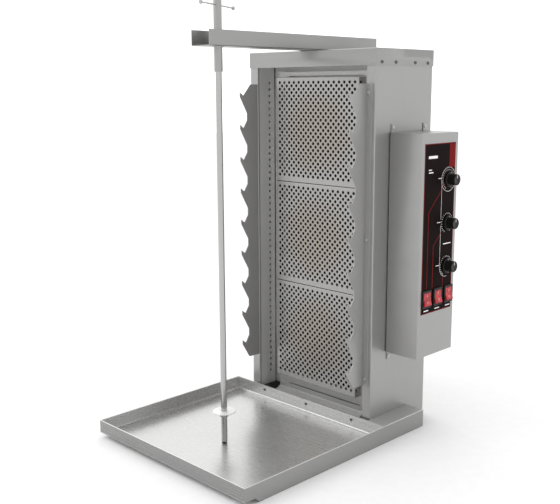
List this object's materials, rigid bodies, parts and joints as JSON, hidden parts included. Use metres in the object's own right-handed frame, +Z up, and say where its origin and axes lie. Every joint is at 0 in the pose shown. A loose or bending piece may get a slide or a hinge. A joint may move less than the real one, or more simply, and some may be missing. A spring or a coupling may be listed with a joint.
{
  "type": "vertical rotisserie broiler",
  "caption": "Counter-top vertical broiler: upright spit over a drip tray, perforated heater covers in a tall cabinet, hook rails, overhead arm and a side control box.",
  "frame": {"origin": "on the counter, on the middle plane, under the rear wall of the drip tray", "axes": "+Z up, +X to the operator's right, +Y away from the operator"},
  "size_m": [0.5635, 0.658, 1],
  "materials": {
    "casing_steel": "brushed stainless sheet, vertical grain",
    "polished_steel": "bright-annealed stainless sheet",
    "tray_steel": "stainless sheet, fine grain",
    "cover_steel": "perforated stainless sheet with heat tint",
    "bar_steel": "turned stainless bar",
    "screw_steel": "bright screws",
    "tip_steel": "blackened hardened steel",
    "element_sheath": "oxidised alloy tube",
    "ceramic_white": "unglazed ceramic",
    "fibre_board": "pressed ceramic fibre",
    "black_plastic": "moulded black plastic, fine texture",
    "phenolic_brown": "moulded phenolic",
    "rocker_red": "translucent red plastic",
    "label_film": "black printed film with a dark red edge",
    "wire_insulation": "silicone-insulated wire",
    "rubber_black": "rubber",
    "gland_plastic": "moulded nylon"
  },
  "bodies": {
    "root": {"tray_pan": "tray_steel", "tray_side_left": "tray_steel", "tray_side_right": "tray_steel", "mains_box": "tray_steel", "spit_beam": "casing_steel", "tray_bracket": "casing_steel", "base_plate": "casing_steel", "side_panel_left": "casing_steel", "side_panel_right": "casing_steel", "back_panel": "casing_steel", "top_cap": "casing_steel", "lower_apron": "casing_steel", "arm_channel": "casing_steel", "control_housing": "casing_steel", "spit_socket": "bar_steel", "arm_bush": "bar_steel", "recess_wall_left": "polished_steel", "recess_wall_right": "polished_steel", "reflector": "polished_steel", "hook_rail_left": "polished_steel", "hook_rail_right": "polished_steel", "heater_frame": "cover_steel", "heater_cover_upper": "cover_steel", "heater_cover_middle": "cover_steel", "heater_cover_lower": "cover_steel", "rail_screws": "screw_steel", "casing_screws": "screw_steel", "heating_element_upper": "element_sheath", "heating_element_middle": "element_sheath", "heating_element_lower": "element_sheath", "element_insulators": "ceramic_white", "insulation_board": "fibre_board", "switch_body_left": "black_plastic", "switch_body_middle": "black_plastic", "switch_body_right": "black_plastic", "regulator_upper": "phenolic_brown", "regulator_middle": "phenolic_brown", "regulator_lower": "phenolic_brown", "control_label": "label_film", "heater_wires": "wire_insulation", "wire_grommet": "rubber_black", "cable_gland": "gland_plastic", "terminal_block": "gland_plastic"},
    "spit": {"spit_rod": "bar_steel", "spit_tip": "tip_steel", "spit_disc": "bar_steel", "disc_collar": "bar_steel", "collar_screw": "tip_steel"},
    "sleeve": {"top_sleeve": "bar_steel", "cross_pin": "bar_steel", "pin_balls": "bar_steel"},
    "knob_upper": {"knob_upper": "black_plastic", "control_shaft_upper": "screw_steel"},
    "knob_middle": {"knob_middle": "black_plastic", "control_shaft_middle": "screw_steel"},
    "knob_lower": {"knob_lower": "black_plastic", "control_shaft_lower": "screw_steel"},
    "rocker_left": {"rocker_left": "rocker_red"},
    "rocker_middle": {"rocker_middle": "rocker_red"},
    "rocker_right": {"rocker_right": "rocker_red"}
  },
  "joints": [
    {"name": "spit_spin", "type": "hinge", "parent": "root", "child": "spit", "pos_m": [0, -0.272, 0], "axis": [0, 0, 1], "continuous": true},
    {"name": "sleeve_lift", "type": "slide", "parent": "spit", "child": "sleeve", "axis": [0, 0, 1], "range_m": [0, 0.06]},
    {"name": "knob_turn_upper", "type": "hinge", "parent": "root", "child": "knob_upper", "pos_m": [0.289, 0.162, 0.6], "axis": [-1, 0, 0], "range_deg": [0, 300]},
    {"name": "knob_turn_middle", "type": "hinge", "parent": "root", "child": "knob_middle", "pos_m": [0.289, 0.162, 0.5], "axis": [-1, 0, 0], "range_deg": [0, 300]},
    {"name": "knob_turn_lower", "type": "hinge", "parent": "root", "child": "knob_lower", "pos_m": [0.289, 0.162, 0.4], "axis": [-1, 0, 0], "range_deg": [0, 300]},
    {"name": "rocker_tilt_left", "type": "hinge", "parent": "root", "child": "rocker_left", "pos_m": [0.291, 0.0885, 0.332], "axis": [0, 1, 0], "range_deg": [0, 18]},
    {"name": "rocker_tilt_middle", "type": "hinge", "parent": "root", "child": "rocker_middle", "pos_m": [0.291, 0.131, 0.332], "axis": [0, 1, 0], "range_deg": [0, 18]},
    {"name": "rocker_tilt_right", "type": "hinge", "parent": "root", "child": "rocker_right", "pos_m": [0.291, 0.1735, 0.332], "axis": [0, 1, 0], "range_deg": [0, 18]}
  ]
}
